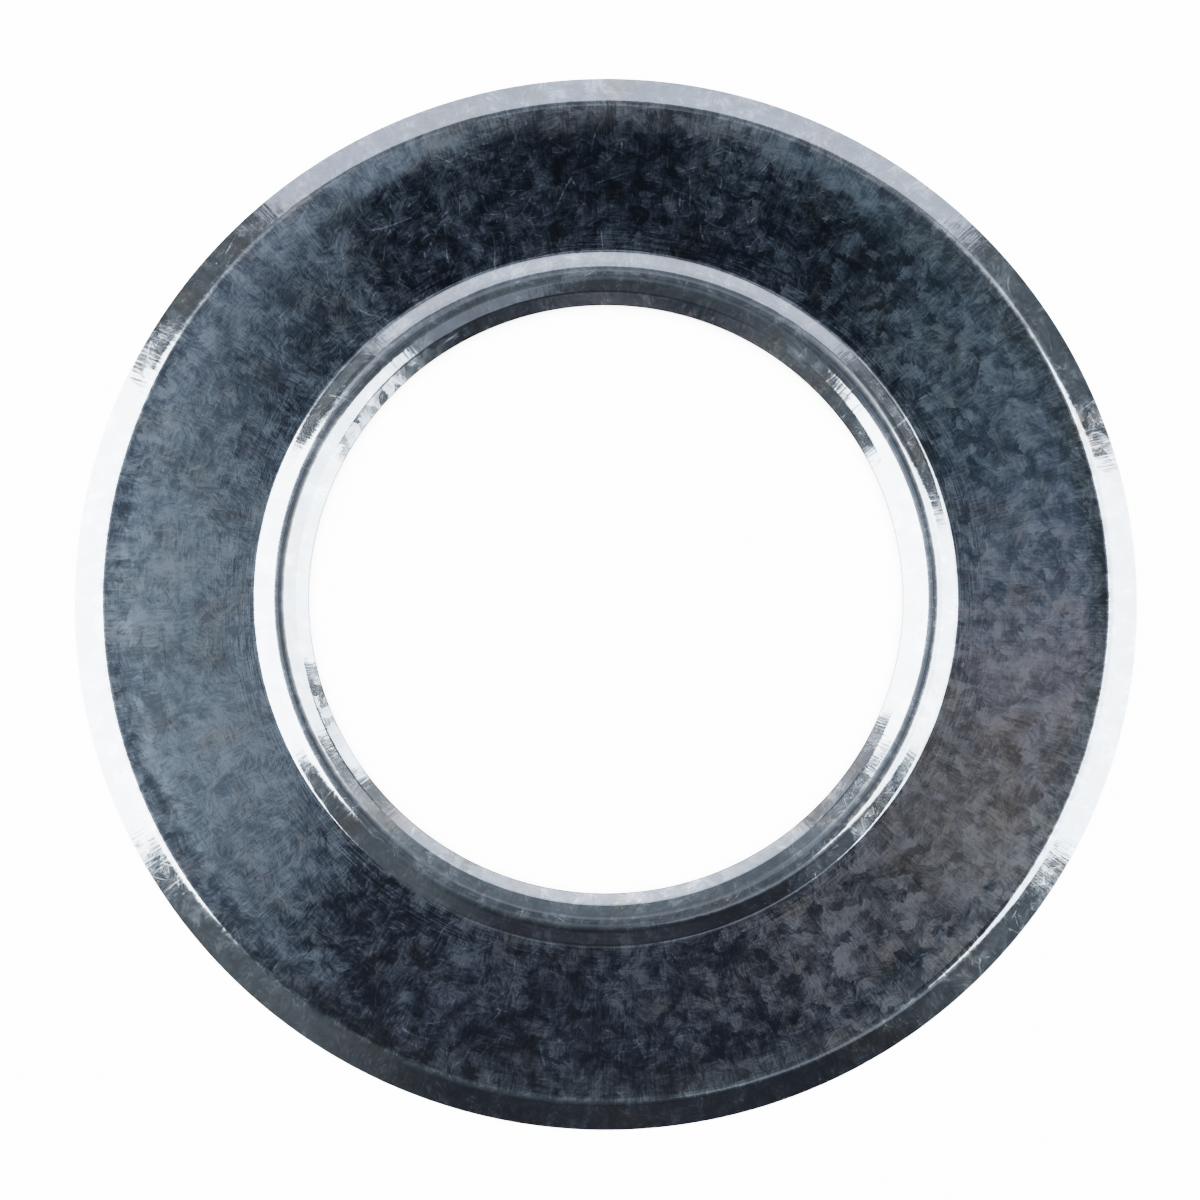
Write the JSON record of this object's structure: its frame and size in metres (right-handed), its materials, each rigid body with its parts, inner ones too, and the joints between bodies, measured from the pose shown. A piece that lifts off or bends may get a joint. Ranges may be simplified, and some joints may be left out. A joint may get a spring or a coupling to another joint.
{
  "type": "flat washer ring",
  "caption": "Thin pressed washer ring of galvanised sheet steel with a large bore, a raised bead round the bore and a turned-down rim.",
  "frame": {"origin": "on the ring's axis, level with the flat foot of the rim", "axes": "+Z along the axis, from the rim's foot towards the bead; X and Y are equivalent"},
  "size_m": [0.217, 0.217, 0.0061],
  "materials": {
    "galvanised_steel": "hot-dip galvanised, small spangle, bright and lightly scuffed"
  },
  "bodies": {
    "root": {"washer_ring": "galvanised_steel"}
  },
  "joints": []
}
